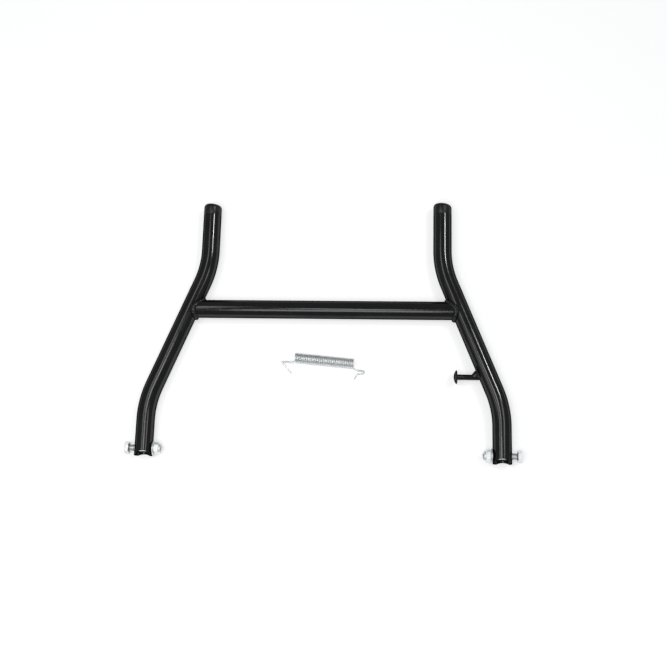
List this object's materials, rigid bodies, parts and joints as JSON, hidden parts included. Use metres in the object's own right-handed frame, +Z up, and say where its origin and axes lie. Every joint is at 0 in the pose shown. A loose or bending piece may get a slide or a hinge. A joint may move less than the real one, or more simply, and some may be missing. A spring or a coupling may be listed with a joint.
{
  "type": "bike trailer kickstand",
  "caption": "Folding kickstand for a bike trailer: bent tube legs with foot caps, a welded crossbar, saddle-cut pivot ends with loose bolts, a spring peg and an unhooked return spring.",
  "frame": {"origin": "middle of the whole outline, on the surface that the stand lies on", "axes": "+X across the legs towards the one with the spring peg, +Y from the pivots towards the feet, +Z up from the surface"},
  "size_m": [0.4682, 0.315, 0.024],
  "materials": {
    "powder_black": "gloss black powder coat with a faint orange peel",
    "cap_black": "satin moulded black plastic",
    "zinc": "bright bluish zinc plating",
    "nylon": "natural off-white nylon",
    "spring_zinc": "bright zinc-plated spring wire"
  },
  "bodies": {
    "stand": {"left_leg_tube": "powder_black", "right_leg_tube": "powder_black", "crossbar_tube": "powder_black", "left_crossbar_weld": "powder_black", "right_crossbar_weld": "powder_black", "left_foot_cap": "cap_black", "right_foot_cap": "cap_black", "spring_peg": "powder_black", "spring_peg_weld": "powder_black", "return_spring": "spring_zinc"},
    "left_pivot": {"left_pivot_bolt": "zinc", "left_washer": "zinc", "left_lock_nut": "zinc", "left_nut_insert": "nylon"},
    "right_pivot": {"right_pivot_bolt": "zinc", "right_washer": "zinc", "right_lock_nut": "zinc", "right_nut_insert": "nylon"}
  },
  "joints": [
    {"name": "left_pivot_turn", "type": "hinge", "parent": "stand", "child": "left_pivot", "pos_m": [-0.2115, -0.1485, 0.0111], "axis": [1, 0, 0], "continuous": true},
    {"name": "right_pivot_turn", "type": "hinge", "parent": "stand", "child": "right_pivot", "pos_m": [0.2115, -0.1485, 0.0111], "axis": [1, 0, 0], "continuous": true}
  ]
}
